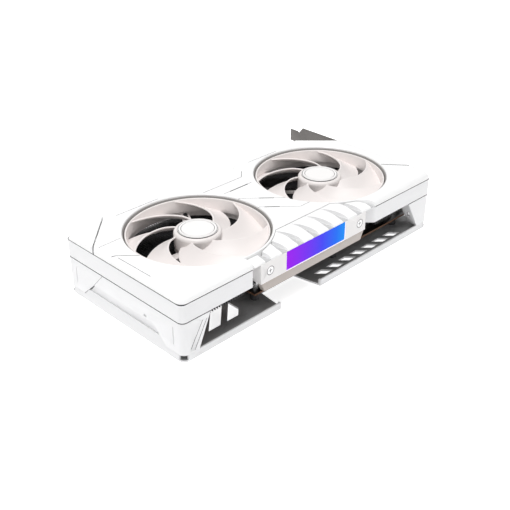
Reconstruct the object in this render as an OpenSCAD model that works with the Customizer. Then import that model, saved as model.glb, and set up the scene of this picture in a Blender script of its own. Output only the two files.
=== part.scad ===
// Two-fan graphics card, lying on its backplate with the fans facing up.
// X runs from the tail to the slot bracket, Y from the lit edge to the edge connector, Z up.

/* [Shroud] */
// Length of the shroud
shroud_l = 250; // [240:1:300]
// Width of the shroud, from the lit edge to the connector side
shroud_w = 117.8; // [114:0.2:142]
// Height of the top face over the underside of the backplate
top_z = 46.6; // [46:0.2:56]
// Wall of the moulded covers
wall = 2; // [1.6:0.1:2.4]
// Radius of the upright corners
corner_r = 4; // [3:0.5:5]
// Height of the top panel's rolled edge
panel_h = 5.3; // [4.5:0.1:6.4]
// Height of the side band
band_h = 13; // [11:0.1:15.6]
// Open seam between covers
seam = 0.4; // [0.2:0.05:0.5]
// Cut across the corner beside the bracket
corner_cut = 25.8; // [20:0.2:31]
// How far the waist is set in
waist_in = 6; // [4:0.5:7]

/* [Fans] */
// Radius of the fan opening at the top face
opening_r = 50.1; // [49.6:0.1:50.4]
// Radius inside the fan duct
duct_r = 49.3; // [46:0.1:49.4]
// Gap between the fan's rim and its duct
tip_gap = 0.7; // [0.5:0.1:1.2]
// Number of blades
blade_count = 7; // [5:1:9]
// Thickness of a blade
blade_t = 1.4; // [1:0.1:1.7]
// Radius of the fan hub
hub_r = 15.8; // [14:0.1:17]
// Height of the fan rotor
rotor_h = 11; // [9:0.1:11.4]
// Radius of the fan shaft
shaft_r = 1.5; // [1.2:0.1:1.8]
// Running clearance round the shaft
shaft_gap = 0.05; // [0.02:0.01:0.09]
// Distance from the tail to the first fan's axis
fan_from_tail = 65.4; // [62:0.1:70]
// Distance from the bracket end to the second fan's axis
fan_from_bracket = 61.6; // [58:0.1:66]

/* [Light bar] */
// Length of the light bar
bar_l = 105; // [90:1:106]
// Start of the light bar, from the tail
bar_x = 66; // [64:0.5:72]
// Length of the lit window
window_l = 59; // [50:1:70]
// Depth of the light bar behind its front
bar_d = 7.4; // [6:0.1:7.4]

/* [Cooler] */
// Distance between cooling fins
fin_pitch = 4; // [3:0.1:5]
// Thickness of a cooling fin
fin_t = 0.6; // [0.4:0.1:0.8]
// Radius of a heat pipe
pipe_r = 3; // [2.5:0.1:3.4]
// Number of heat pipes
pipe_count = 5; // [3:1:5]

/* [Board] */
// Thickness of the circuit board
board_t = 1.57; // [1.2:0.01:1.8]
// Height of the circuit board's underside
board_z = 8.6; // [8:0.1:9.6]
// Sheet thickness of the backplate
plate_t = 1.5; // [1:0.1:1.8]
// Height of the backplate's folded lip
lip_h = 5; // [4:0.1:6]

/* [Hidden] */
$fn = 64;

skew = tan(22.5);
tiny = 0.05;
slack = 0.3;

// heights of the covers
panel_z = top_z - panel_h;
band_z = panel_z - band_h;
skin_t = wall;
edge_chamfer = 3;
edge_over = 0.2;
cap_l = 32.8;

// slot bracket, from the bus standard
sheet_t = 0.9;
bracket_len = 120.02;
bracket_h = 38.74;
bracket_z = board_z - 3.1;
slot_pitch = 20.32;
tongue_w = 10.19;
tongue_l = 7.6;
tab_l = 11.43;
notch_w = 4.42;
tab_w = slot_pitch + 12.9;
bracket_x = shroud_l + slack;
bracket_end_y = shroud_w + 28.2;
tab_y = bracket_end_y - bracket_len;

// the row frame sits at the middle of the underside
mid_x = (bracket_x + sheet_t + tab_l) / 2;
mid_y = bracket_end_y / 2;

// fans
fan_y = shroud_w / 2;
tail_fan_at = [fan_from_tail, fan_y];
bracket_fan_at = [shroud_l - fan_from_bracket, fan_y];
rim_r = duct_r - tip_gap;
rim_t = 1.3;
hub_top = top_z - 1.1;
rotor_z = hub_top - rotor_h;
rim_top = top_z - 2;
duct_wall = 1.1;
cap_r = 13.7;
cap_t = 0.4;
bearing_r = 3.2;
strut_w = 6;
strut_t = 2;
strut_count = 3;
duct_z = rotor_z - 0.7;
frame_h = 3.6;
frame_z = duct_z - frame_h;
tail_phase = 8.5;
bracket_phase = 34.5;
sweep_rate = 1.9;

// light bar
bar_z0 = band_z - 1.3;
bar_z1 = panel_z + 0.2;
recess_x0 = 58.5;
recess_x1 = bar_x + bar_l + 0.5;
recess_y = 19.8;
recess_cut = 10;
window_x = bar_x + 23.5;
trim_h = 7;

// backplate
notch_x0 = 85;
notch_x1 = 124.5;
notch_y = 22;
vent_x0 = 20;
vent_x1 = 64.2;
vent_y0 = 13.3;
vent_y1 = shroud_w - 18;
vent_w = 10.2;
vent_pitch = 16.2;
slot_count = 7;
slot_step = 13.1;
flange_h = 10.3;

// circuit board
board_x0 = 74;
board_x1 = shroud_l - 1.4;
board_y0 = 13.6;
board_y1 = shroud_w + 10.4;
board_top = board_z + board_t;
contact_l = 8.3;
contact_x1 = bracket_x - 46.9;
short_row = 11.65;
key_w = 1.9;
long_row = 71.65;
screw_r = 1.4;
screw_gap = 0.15;
screw_head_r = 2.7;
light_screw_r = 1.4;
light_head_r = 2.6;
board_screws = [[80, 20], [80, shroud_w - 6], [128, shroud_w - 8.5], [shroud_l - 90, 20],
    [shroud_l - 90, shroud_w - 6], [shroud_l - 18, 20], [shroud_l - 26, shroud_w - 12]];

// chip stack
chip_at = [shroud_l - 98, fan_y + 6];
chip_screw_step = 24;
chip_screws = [for (sx = [-1, 1], sy = [-1, 1]) chip_at + chip_screw_step * [sx, sy]];
carrier_w = 37;
carrier_t = 1.2;
die_w = 17;
die_l = 21;
die_t = 0.78;
paste_t = 0.2;
cold_z = board_top + carrier_t + die_t + paste_t;
memory_t = 1.1;
choke_h = 3.5;
pad_t = 0.5;

// fins
fin_z0 = cold_z + 5.15;
fin_z1 = frame_z - 0.3;
fin_x0 = 9;
fin_x1 = shroud_l - 14;
fin_y0 = wall + 0.6;
fin_y1 = shroud_w - waist_in - wall - 0.6;
fin_step_y = 14;
fin_edge_z = band_z - 4.3;
pipe_z = fin_z0 + 0.9;
pipe_gap = 0.03;
pipe_step = 9.5;
corner_edge = [for (i = [2, 3]) outline(wall + 0.8)[i]];

// sockets
display_y = [tab_y + 20, tab_y + 41, tab_y + 62];
display_w = 16.9;
display_h = 5.6;
wide_y = tab_y + 82;
wide_w = 14.8;
wide_h = 5.4;
shell_t = 0.42;
socket_depth = 16;
socket_z = board_top + 0.1;
power_x = 92;
power_w = 20.5;
power_l = 13;
power_h = 9.2;
cell_w = 3.4;
cell_step = 4.2;

module place() translate([-mid_x, -mid_y, 0]) children();

module slab_xy(points, z0, z1) translate([0, 0, z0]) linear_extrude(z1 - z0) polygon(points);

module slab_yz(points, x0, x1)
    translate([x0, 0, 0]) rotate([90, 0, 90]) linear_extrude(x1 - x0) polygon(points);

module slab_xz(points, y0, y1)
    translate([0, y1, 0]) rotate([90, 0, 0]) linear_extrude(y1 - y0) polygon(points);

module block(low, high) translate(low) cube(high - low);

module rod(at, r, z0, z1) translate([at[0], at[1], z0]) cylinder(h = z1 - z0, r = r);

module bar_along(from, to, width, z0, z1) {
    reach = norm(to - from);
    turn = atan2(to[1] - from[1], to[0] - from[0]);
    translate([from[0], from[1], z0]) rotate([0, 0, turn]) translate([0, -width / 2, 0])
        cube([reach, width, z1 - z0]);
}

// Outline of the shroud seen from above, taken in by a distance
function outline(in) = let (k = in * skew, deep = shroud_w - waist_in) [
    [in, in], [shroud_l - in, in],
    [shroud_l - in, shroud_w - corner_cut - k], [shroud_l - corner_cut - k, shroud_w - in],
    [shroud_l - 98 + k, shroud_w - in], [shroud_l - 98 - waist_in + k, deep - in],
    [96 - k, deep - in], [96 - waist_in - k, shroud_w - in], [in, shroud_w - in]];

module corner_waste(at, turn, r) translate(at) rotate([0, 0, turn]) difference() {
    translate([-1, -1]) square(r + 1);
    translate([r, r]) circle(r);
}

module rounded_outline(in) {
    r = corner_r - in;
    difference() {
        polygon(outline(in));
        corner_waste([in, in], 0, r);
        corner_waste([shroud_l - in, in], 90, r);
        corner_waste([in, shroud_w - in], -90, r);
    }
}

module fan_circles(r) for (at = [tail_fan_at, bracket_fan_at]) translate(at) circle(r);

// Space that the light bar takes out of the shroud; grow widens it
module bar_recess(grow, depth) {
    far = recess_x1 + recess_cut + grow * (1 + skew);
    run = min(depth, recess_cut + grow * skew);
    polygon(concat([[recess_x0 - grow, -1], [far + 1, -1], [far - run, run]],
        depth > run ? [[far - run, depth]] : [], [[recess_x0 - grow, depth]]));
}

module cover_ring(in, thick) difference() {
    rounded_outline(in);
    rounded_outline(in + thick);
}

module edge_cut(from, to) {
    reach = norm(to - from);
    turn = atan2(to[1] - from[1], to[0] - from[0]);
    translate([from[0], from[1], top_z]) rotate([0, 0, turn]) rotate([45, 0, 0])
        translate([-edge_over, -10, -edge_chamfer / sqrt(2)]) cube([reach + 2 * edge_over, 20, 12]);
}

// Groove round the outside where two covers meet
module seam_groove(z) translate([0, 0, z - seam / 2]) linear_extrude(seam) difference() {
    rounded_outline(-1);
    rounded_outline(0.8);
}

module cap_area(gap)
    polygon([[-1, shroud_w - cap_l + gap], [cap_l - gap, shroud_w + 1], [-1, shroud_w + 1]]);

module top_outline() difference() {
    rounded_outline(0);
    difference() {
        bar_recess(0, recess_y);
        fan_circles(opening_r + duct_wall);
    }
    cap_area(0);
}

module rolled_edges() {
    points = outline(0);
    for (i = [0:8]) edge_cut(points[i], points[(i + 1) % 9]);
}

module groove(from, to, width, depth) bar_along(from, to, width, top_z - depth, top_z + 1);

module top_panel() color("white") place() difference() {
    union() {
        difference() {
            translate([0, 0, panel_z]) linear_extrude(panel_h) top_outline();
            rolled_edges();
            seam_groove(panel_z);
            translate([0, 0, panel_z - 1]) linear_extrude(panel_h + 1 - skin_t) difference() {
                rounded_outline(wall);
                light_cover_wall();
                cap_area(-wall);
            }
        }
        for (at = [tail_fan_at, bracket_fan_at]) {
            rod(at, duct_r + duct_wall, duct_z, top_z);
            rod(at, opening_r + duct_wall - 0.3, top_z - panel_h + seam, top_z);
        }
    }
    for (at = [tail_fan_at, bracket_fan_at]) {
        rod(at, duct_r, duct_z - 1, top_z + 1);
        translate([at[0], at[1], top_z - 2.4]) cylinder(h = 2.4, r1 = duct_r, r2 = opening_r);
    }
    panel_grooves();
}

module light_cover_wall() difference() {
    bar_recess(wall, recess_y + wall);
    fan_circles(opening_r);
}

module panel_grooves() {
    near_tail = tail_fan_at[0];
    near_end = bracket_fan_at[0];
    groove([near_tail - 63, fan_y + 10], [near_tail - 49, fan_y - 4], 0.8, 0.7);
    groove([4, fan_y - 32], [4, fan_y + 5], 0.5, 0.4);
    groove([near_end + 45, fan_y - 23], [shroud_l + 2, near_end + fan_y + 20 - shroud_l], 1, 0.7);
    groove([near_tail - 29, shroud_w - 5], [near_tail + 9, shroud_w - 5], 0.6, 0.5);
    groove([near_end - 25, shroud_w - 5], [near_end + 7, shroud_w - 5], 0.6, 0.5);
    groove([near_tail + 37, shroud_w - 23], [near_end - 46, shroud_w - 23], 3, 1);
    groove([near_tail + 47, shroud_w - 35], [near_end - 48, shroud_w - 35], 0.9, 0.7);
    groove([near_tail + 50, fan_y + 10.5], [near_end - 47, fan_y - 12.5], 0.9, 0.7);
    groove([near_tail + 49, fan_y - 7], [near_tail + 70.5, fan_y - 28.5], 0.9, 0.7);
    groove([near_tail + 70.5, fan_y - 28.5], [near_end - 40, fan_y - 28.5], 0.7, 0.6);
}

module tail_corner_cap() color("whitesmoke") place() difference() {
    translate([0, 0, panel_z]) linear_extrude(panel_h) intersection() {
        rounded_outline(0);
        cap_area(seam);
    }
    translate([0, shroud_w - cap_l, top_z]) rotate([0, 0, 45]) rotate([-14, 0, 0])
        translate([-20, -2, 0]) cube([90, 60, 20]);
    seam_groove(panel_z);
}

module side_band() color("gainsboro") place() difference() {
    union() {
        translate([0, 0, band_z]) linear_extrude(band_h) difference() {
            rounded_outline(0);
            bar_recess(0, bar_d + slack);
            difference() {
                rounded_outline(wall);
                bar_recess(wall, bar_d + slack + wall);
            }
            fan_circles(duct_r + duct_wall + slack);
        }
        at_light_screws(wall) cylinder(h = bar_d + slack + 0.5 - wall, r = 3);
    }
    seam_groove(band_z);
    seam_groove(panel_z);
    at_light_screws(0) cylinder(h = 7, r = light_screw_r + pipe_gap);
}

// Screw places along the light bar, at a depth behind its front
module at_light_screws(y) for (x = [bar_x + 8.5, bar_x + bar_l - 6.5])
    translate([x, y, (bar_z0 + bar_z1) / 2]) rotate([-90, 0, 0]) children();

leg_top = band_z;
foot_w = 16.5;
foot_slope = 11.2;
mid_z = lip_h + foot_slope;
side_foot = 13;
side_foot_top = 23;
leg_wall = wall + 0.2;

module leg_shell() difference() {
    translate([0, 0, lip_h]) linear_extrude(leg_top - lip_h) cover_ring(0, leg_wall);
    seam_groove(band_z);
}

module tail_cover() color("gainsboro") place() difference() {
    union() {
        intersection() {
            leg_shell();
            union() {
                slab_yz([[-1, lip_h], [foot_w, lip_h], [foot_w + foot_slope, mid_z],
                    [shroud_w - 28.6, mid_z], [shroud_w - 40, leg_top], [-1, leg_top]], -1, 5);
                slab_xz([[-1, lip_h], [side_foot, lip_h], [side_foot_top, leg_top], [-1, leg_top]], -1, 5);
            }
        }
        slab_yz([[foot_w, flange_h + 0.1], [shroud_w - 23.4, flange_h + 0.1], [shroud_w - 29.4, mid_z],
            [shroud_w - 29.4, mid_z + 3], [foot_w + foot_slope, mid_z + 3]], 0.8, leg_wall + 1.4);
    }
    block([-1, 8.4, lip_h + 5.3], [1, 9.2, leg_top - 5.3]);
    block([-1, 34, mid_z + 1.5], [1, 37, mid_z + 3]);
}

module rear_corner_leg() color("gainsboro") place() difference() {
    intersection() {
        leg_shell();
        union() {
            slab_yz([[shroud_w - 40 + seam, leg_top], [shroud_w - 28.6 + seam, mid_z],
                [shroud_w - 16.3, lip_h], [shroud_w + 1, lip_h], [shroud_w + 1, leg_top]], -1, 5);
            slab_xz([[-1, lip_h], [side_foot, lip_h], [side_foot_top, leg_top], [-1, leg_top]],
                shroud_w - 5, shroud_w + 1);
        }
    }
    block([-1, shroud_w - 9.7, lip_h + 5.3], [1, shroud_w - 8.9, leg_top - 5.3]);
}

web_depth = 9;

module bracket_end_leg() color("gainsboro") place() {
    foot_x = shroud_l - side_foot;
    intersection() {
        leg_shell();
        union() {
            slab_xz([[shroud_l + 1, lip_h], [foot_x, lip_h], [foot_x - 14, leg_top],
                [shroud_l + 1, leg_top]], -1, 5);
            block([shroud_l - 5, -1, lip_h], [shroud_l + 1, 12, leg_top]);
        }
    }
    difference() {
        slab_xz([[foot_x + 2.4, lip_h], [foot_x, lip_h], [foot_x - 14, leg_top], [foot_x - 11.6, leg_top]],
            1, web_depth);
        block([foot_x - 10, 3.4, mid_z - 3], [foot_x, 6.4, mid_z + 2]);
    }
}

function plate_outline(in) = [[in, in], [notch_x0 - in, in], [notch_x0 + 3 - in, notch_y + in],
    [notch_x1 - 3.5 + in, notch_y + in], [notch_x1 + in, in], [shroud_l - in, in],
    [shroud_l - in, shroud_w - corner_cut - in * skew],
    [shroud_l - corner_cut - in * skew, shroud_w - in], [in, shroud_w - in]];

module plate_rounded(in) {
    r = corner_r - in;
    difference() {
        polygon(plate_outline(in));
        corner_waste([in, in], 0, r);
        corner_waste([shroud_l - in, in], 90, r);
        corner_waste([in, shroud_w - in], -90, r);
    }
}

module vent_strips() intersection() {
    polygon([[vent_x0, vent_y0], [vent_x1 - 6, vent_y0], [vent_x1, vent_y0 + 6],
        [vent_x1, vent_y1], [vent_x0, vent_y1]]);
    for (n = [-ceil((vent_y1 - vent_y0) / vent_pitch):2]) {
        start = 32.2 + n * vent_pitch;
        rise = vent_y1 - vent_y0 + 2;
        polygon([[start - 1, vent_y0 - 1], [start + vent_w - 1, vent_y0 - 1],
            [start + vent_w + rise, vent_y0 + rise], [start + rise, vent_y0 + rise]]);
    }
}

module edge_slots() for (n = [0:slot_count - 1]) {
    x = notch_x1 + 14.5 + n * slot_step;
    polygon([[x - 1, 6.8], [x + 7, 6.8], [x + 1, 12.8], [x - 7, 12.8]]);
}

module backplate() color("silver") place() difference() {
    union() {
        linear_extrude(plate_t) plate_rounded(0);
        intersection() {
            linear_extrude(flange_h) difference() {
                plate_rounded(0);
                plate_rounded(1.2);
            }
            union() {
                slab_yz([[corner_r, 0], [corner_r, lip_h], [foot_w, lip_h],
                    [foot_w + flange_h - lip_h, flange_h], [shroud_w - 17 + lip_h - flange_h, flange_h],
                    [shroud_w - 17, lip_h], [shroud_w - corner_r, lip_h], [shroud_w - corner_r, 0]], -1, 2);
                block([corner_r, -1, 0], [notch_x0, 2, lip_h]);
                block([notch_x1, -1, 0], [shroud_l - corner_r, 2, lip_h]);
                block([corner_r, shroud_w - 2, 0], [110, shroud_w + 1, lip_h]);
                block([shroud_l - 2, corner_r, 0], [shroud_l + 1, 12, lip_h]);
            }
        }
    }
    translate([0, 0, -1]) linear_extrude(plate_t + 2) {
        vent_strips();
        edge_slots();
    }
    for (at = board_screws) {
        rod(at, screw_r + screw_gap, -1, plate_t + 1);
        translate([at[0], at[1], -tiny])
            cylinder(h = plate_t, r1 = screw_head_r + 0.25, r2 = screw_r + 0.1);
    }
}

cover_z0 = bar_z1;

module ribbed_cover() color("white") place() intersection() {
    slab_yz([[0.3, cover_z0], [recess_y - seam, cover_z0], [recess_y - seam, top_z - 0.2],
        [recess_y - 6, top_z - 0.2], [0.3, cover_z0 + 1]], recess_x0 + seam, recess_x1 + 10);
    translate([0, 0, cover_z0 - 1]) linear_extrude(panel_h + 2) difference() {
        bar_recess(-seam, recess_y);
        fan_circles(opening_r + duct_wall + seam);
    }
}

module light_housing() color("white") place() difference() {
    block([bar_x, 0, bar_z0], [bar_x + bar_l, bar_d, bar_z1]);
    block([bar_x + wall, wall, bar_z0 + 1.5], [bar_x + bar_l - wall, bar_d + 1, bar_z1 + 1]);
    block([window_x, -1, bar_z0 + 0.6], [window_x + window_l, wall + 1, bar_z1 + 1]);
    at_light_screws(-1) cylinder(h = wall + 2, r = light_screw_r + screw_gap);
    at_light_screws(-1) cylinder(h = 2.2, r = light_head_r + screw_gap);
}

module light_diffuser() color("blueviolet") place()
    block([window_x + 0.1, 0.3, bar_z0 + 0.7], [window_x + window_l - 0.1, wall, bar_z1 - 0.3]);

module light_board() color("darkgreen") place()
    block([window_x - 3, bar_d - 1.2, bar_z0 + 1.5], [window_x + window_l + 3, bar_d - 0.2, bar_z1 - 1]);

module light_leds() color("ivory") place() for (n = [0:7]) {
    x = window_x + window_l * (n + 0.5) / 8;
    z = (bar_z0 + bar_z1) / 2;
    block([x - 1.6, bar_d - 2.2, z - 1.6], [x + 1.6, bar_d - 1.2, z + 1.6]);
}

module lower_trim() color("rosybrown") place()
    slab_xz([[bar_x + 0.7, bar_z0], [bar_x + 4, bar_z0 - trim_h],
        [bar_x + bar_l - 4, bar_z0 - trim_h], [bar_x + bar_l - 0.7, bar_z0]], 0.4, 5);

module light_screws() color("gainsboro") place() at_light_screws(0.1) difference() {
    union() {
        cylinder(h = 1.1, r = light_head_r);
        cylinder(h = 6, r = light_screw_r);
    }
    for (turn = [0, 90]) rotate([0, 0, turn]) translate([-1.6, -0.3, -1]) cube([3.2, 0.6, 1.7]);
}

// One blade: a swept outline cut from a sheet pitched so that its leading edge is high
blade_rows = 7;
blade_root_r = hub_r - 0.7;
blade_tip_r = rim_r - rim_t / 2;
blade_chord = 31;
blade_spread = 0.25;
blade_mid = 12;
blade_pitch = 7.6;

function lead_angle(r) = sweep_rate * (r - hub_r);
function trail_angle(r) = lead_angle(r) - blade_chord - (r - hub_r) * blade_spread;
function row_r(i) = blade_root_r + (blade_tip_r - blade_root_r) * i / blade_rows;
function polar(r, a) = [r * cos(a), r * sin(a)];

module blade_outline() {
    tip_low = trail_angle(blade_tip_r);
    tip_span = lead_angle(blade_tip_r) - tip_low;
    polygon(concat([for (i = [0:blade_rows - 1]) polar(row_r(i), trail_angle(row_r(i)))],
        [for (k = [0:blade_rows]) polar(blade_tip_r, tip_low + tip_span * k / blade_rows)],
        [for (i = [blade_rows - 1:-1:0]) polar(row_r(i), lead_angle(row_r(i)))],
        [polar(blade_root_r, lead_angle(blade_root_r) - blade_chord / 2)]));
}

module blade() intersection() {
    translate([0, 0, rotor_z]) linear_extrude(rotor_h) blade_outline();
    translate([0, 0, rotor_z + 2.4]) rotate([0, 0, blade_mid]) rotate([blade_pitch, 0, 0])
        translate([-60, -60, 0]) cube([120, 120, blade_t]);
}

module fan_rotor(at, phase) color("linen") place() translate([at[0], at[1], 0]) {
    difference() {
        union() {
            rod([0, 0], hub_r, rotor_z, hub_top - 1.2);
            translate([0, 0, hub_top - 1.2]) cylinder(h = 1.2, r1 = hub_r, r2 = hub_r - 1.2);
            for (n = [0:blade_count - 1]) rotate([0, 0, phase + n * 360 / blade_count]) blade();
            difference() {
                rod([0, 0], rim_r, rotor_z, rim_top);
                rod([0, 0], rim_r - rim_t, rotor_z - 1, rim_top + 1);
            }
        }
        rod([0, 0], hub_r - 1.5, rotor_z - 1, hub_top - 1.8);
        rod([0, 0], shaft_r, rotor_z - 1, hub_top - 1);
    }
}

module tail_fan_rotor() fan_rotor(tail_fan_at, tail_phase);
module bracket_fan_rotor() fan_rotor(bracket_fan_at, bracket_phase);

module fan_cap(at) color("white") place() rod(at, cap_r, hub_top, hub_top + cap_t);
module tail_fan_cap() fan_cap(tail_fan_at);
module bracket_fan_cap() fan_cap(bracket_fan_at);

module fan_magnet(at) color("dimgray") place() difference() {
    rod(at, hub_r - 1.55, rotor_z + 0.5, hub_top - 2.4);
    rod(at, hub_r - 3.2, rotor_z, hub_top - 2);
}
module tail_fan_magnet() fan_magnet(tail_fan_at);
module bracket_fan_magnet() fan_magnet(bracket_fan_at);

cup_z = frame_z + 1.6;

module fan_shaft(at) color("lightgray") place() rod(at, shaft_r, cup_z + 0.4, hub_top - 1);
module tail_fan_shaft() fan_shaft(tail_fan_at);
module bracket_fan_shaft() fan_shaft(bracket_fan_at);

module fan_frame(at, lead_turn) color("white") place() translate([at[0], at[1], 0]) difference() {
    union() {
        difference() {
            rod([0, 0], duct_r + duct_wall, frame_z, duct_z);
            rod([0, 0], duct_r - 0.8, frame_z - 1, duct_z + 1);
        }
        rod([0, 0], hub_r, frame_z, cup_z);
        for (n = [1:strut_count]) rotate([0, 0, lead_turn + n * 360 / strut_count])
            block([hub_r - 1, -strut_w / 2, frame_z], [duct_r, strut_w / 2, frame_z + strut_t]);
        rod([0, 0], bearing_r + 1.2, frame_z, cup_z + 1.2);
    }
    rod([0, 0], bearing_r, cup_z, duct_z);
    rotate([0, 0, lead_turn]) block([lead_r - 1, -2, frame_z - 1], [lead_r + 1, 2, duct_z]);
}
module tail_fan_frame() fan_frame(tail_fan_at, tail_lead_turn);
module bracket_fan_frame() fan_frame(bracket_fan_at, bracket_lead_turn);

bearing_top = hub_top - 2.6;

module fan_bearing(at) color("goldenrod") place() difference() {
    rod(at, bearing_r, cup_z, bearing_top);
    rod(at, shaft_r + shaft_gap, cup_z + 0.3, bearing_top + 1);
}
module tail_fan_bearing() fan_bearing(tail_fan_at);
module bracket_fan_bearing() fan_bearing(bracket_fan_at);

module fan_stator(at) color("peru") place() translate([at[0], at[1], 0]) difference() {
    union() {
        rod([0, 0], 6, cup_z + 2.1, bearing_top - 0.4);
        for (n = [0:3]) rotate([0, 0, n * 90])
            block([4, -2.2, rotor_z + 0.8], [hub_r - 4, 2.2, bearing_top - 0.8]);
    }
    rod([0, 0], bearing_r + pipe_gap, cup_z - 1, bearing_top + 1);
}
module tail_fan_stator() fan_stator(tail_fan_at);
module bracket_fan_stator() fan_stator(bracket_fan_at);

module fan_board(at) color("darkgreen") place() difference() {
    rod(at, hub_r - 4.5, cup_z + 1.2, cup_z + 2);
    rod(at, bearing_r + 0.2, cup_z, cup_z + 3);
}
module tail_fan_board() fan_board(tail_fan_at);
module bracket_fan_board() fan_board(bracket_fan_at);

function pipe_y(n) = chip_at[1] + (n - (pipe_count - 1) / 2) * pipe_step;

module pipe(n, past, r) translate([fin_x0 + 4 - past, pipe_y(n), pipe_z]) rotate([0, 90, 0])
    cylinder(h = fin_x1 - fin_x0 - 8 + 2 * past, r = r);

module pipe_bores() for (n = [0:pipe_count - 1]) pipe(n, 8, pipe_r + pipe_gap);

module fin_stack() color("dimgray") place() difference() {
    union() {
        for (x = [fin_x0:fin_pitch:fin_x1 - fin_t])
            slab_yz([[fin_y0, fin_edge_z], [fin_step_y, fin_edge_z], [fin_step_y, fin_z0],
                [fin_y1, fin_z0], [fin_y1, fin_z1], [fin_y0, fin_z1]], x, x + fin_t);
        for (y = [30, fin_y1 - 4])
            block([fin_x0, y, fin_z1 - 1.5], [fin_x1 - fin_pitch, y + 2, fin_z1]);
        for (y = [33, fin_y1 - 4])
            block([fin_x0, y, fin_z0], [fin_x1 - fin_pitch, y + 2, fin_z0 + 1.5]);
    }
    pipe_bores();
    block([recess_x0 - 3, 0, fin_edge_z - 1], [recess_x1 + 13.5, bar_d + 2 * slack + wall, fin_z1 + 1]);
    block([power_x - 2, 0, fin_z0 - 1],
        [power_x + power_w + 2, board_y0 + power_l + 2.4, board_top + power_h + 1]);
    for (at = lead_drops)
        block([at[0] - 3, at[1] - 3, fin_z0 - 1], [at[0] + 3, at[1] + 3, fin_z1 + 1]);
    block([shroud_l - 32, 0, fin_edge_z - 1], [shroud_l, web_depth + 0.5, fin_z1 + 1]);
    slab_xy([corner_edge[0], [shroud_l, corner_edge[0][1]], [shroud_l, shroud_w],
        [corner_edge[1][0], shroud_w], corner_edge[1]], fin_z0 - 1, fin_z1 + 1);
}

module heat_pipes() color("goldenrod") place() for (n = [0:pipe_count - 1]) {
    pipe(n, 0, pipe_r);
    for (x = [fin_x0 + 4, fin_x1 - 4]) translate([x, pipe_y(n), pipe_z]) sphere(pipe_r);
}

module cold_plate() color("tan") place() difference() {
    block([chip_at[0] - 42, chip_at[1] - 33, cold_z], [chip_at[0] + 42, chip_at[1] + 33, fin_z0]);
    pipe_bores();
    for (at = chip_screws) rod(at, screw_r, cold_z - 1, cold_z + 2.2);
    for (at = lead_drops)
        block([at[0] - 4, at[1] - 4, cold_z - 1], [at[0] + 4, at[1] + 14, fin_z0 + 1]);
}

choke_x = shroud_l - 42;
choke_w = 6.5;

module regulator_plate() color("silver") place() difference() {
    block([choke_x - 6, 30, board_top + choke_h + pad_t], [choke_x + 20, shroud_w - 20, fin_z0]);
    pipe_bores();
}

memory_at = [for (x = [-16, 16], y = [-28, 28]) [x, y], for (x = [-32, 32], y = [-10, 8]) [x, y]];
memory_wide = 6;
memory_long = 5;

module on_memory(z0, z1) for (at = memory_at) {
    c = chip_at + at;
    block([c[0] - memory_wide, c[1] - memory_long, z0], [c[0] + memory_wide, c[1] + memory_long, z1]);
}

module memory_chips() color("black") place() on_memory(board_top, board_top + memory_t);

choke_count = 8;
choke_step = (shroud_w - 50) / choke_count;
function choke_y(n) = 32 + n * choke_step;

module thermal_pads() color("lightgray") place() {
    on_memory(board_top + memory_t, cold_z);
    for (n = [0:choke_count - 1])
        block([choke_x, choke_y(n), board_top + choke_h],
            [choke_x + choke_w, choke_y(n) + choke_w, board_top + choke_h + pad_t]);
}

module power_chokes() color("gray") place() for (n = [0:choke_count - 1])
    block([choke_x, choke_y(n), board_top], [choke_x + choke_w, choke_y(n) + choke_w, board_top + choke_h]);

module power_stages() color("black") place() for (n = [0:choke_count - 1])
    block([choke_x + 9, choke_y(n) + 0.5, board_top], [choke_x + 14, choke_y(n) + 6, board_top + 0.9]);

module capacitors() color("silver") place() for (n = [0:choke_count - 1])
    rod([choke_x - 10, choke_y(n) + 3.2], 2.6, board_top, board_top + 3.2);

module thermal_paste() color("gray") place()
    block([chip_at[0] - die_w / 2, chip_at[1] - die_l / 2, cold_z - paste_t],
        [chip_at[0] + die_w / 2, chip_at[1] + die_l / 2, cold_z]);

module chip_die() color("slategray") place()
    block([chip_at[0] - die_w / 2, chip_at[1] - die_l / 2, board_top + carrier_t],
        [chip_at[0] + die_w / 2, chip_at[1] + die_l / 2, cold_z - paste_t]);

module chip_carrier() color("green") place()
    block([chip_at[0] - carrier_w / 2, chip_at[1] - carrier_w / 2, board_top],
        [chip_at[0] + carrier_w / 2, chip_at[1] + carrier_w / 2, board_top + carrier_t]);

module contact_rows(low_y, high_y, z0, z1) {
    key_x = contact_x1 - short_row;
    block([key_x, low_y, z0], [contact_x1, high_y, z1]);
    block([key_x - key_w - long_row, low_y, z0], [key_x - key_w, high_y, z1]);
}

module circuit_board() color("black") place() difference() {
    union() {
        block([board_x0, board_y0, board_z], [board_x1, board_y1, board_top]);
        contact_rows(board_y1 - 1, board_y1 + contact_l, board_z, board_top);
    }
    for (at = board_screws) rod(at, screw_r + screw_gap, board_z - 1, board_top + 1);
    for (at = chip_screws) rod(at, screw_r + screw_gap, board_z - 1, board_top + 1);
    for (y = ear_y) rod([bracket_x - ear_back, y], ear_hole_r, board_z - 1, board_top + 1);
}

module edge_contacts() color("gold") place() for (z = [board_z - tiny, board_top])
    contact_rows(board_y1 + 1.2, board_y1 + contact_l - 1, z, z + tiny);

power_y = board_y0 + 0.9;

module at_cells() for (i = [0:3], j = [0:1])
    translate([power_x + power_w / 2 + (i - 1.5) * cell_step, power_y,
        board_top + power_h / 2 + (j - 0.5) * cell_step]) children();

module power_socket() color("black") place() difference() {
    block([power_x, power_y, board_top], [power_x + power_w, power_y + power_l, board_top + power_h]);
    at_cells() translate([-cell_w / 2, -1, -cell_w / 2]) cube([cell_w, 11, cell_w]);
}

module power_pins() color("gold") place()
    at_cells() translate([-0.55, 2, -0.55]) cube([1.1, 8, 1.1]);

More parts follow.
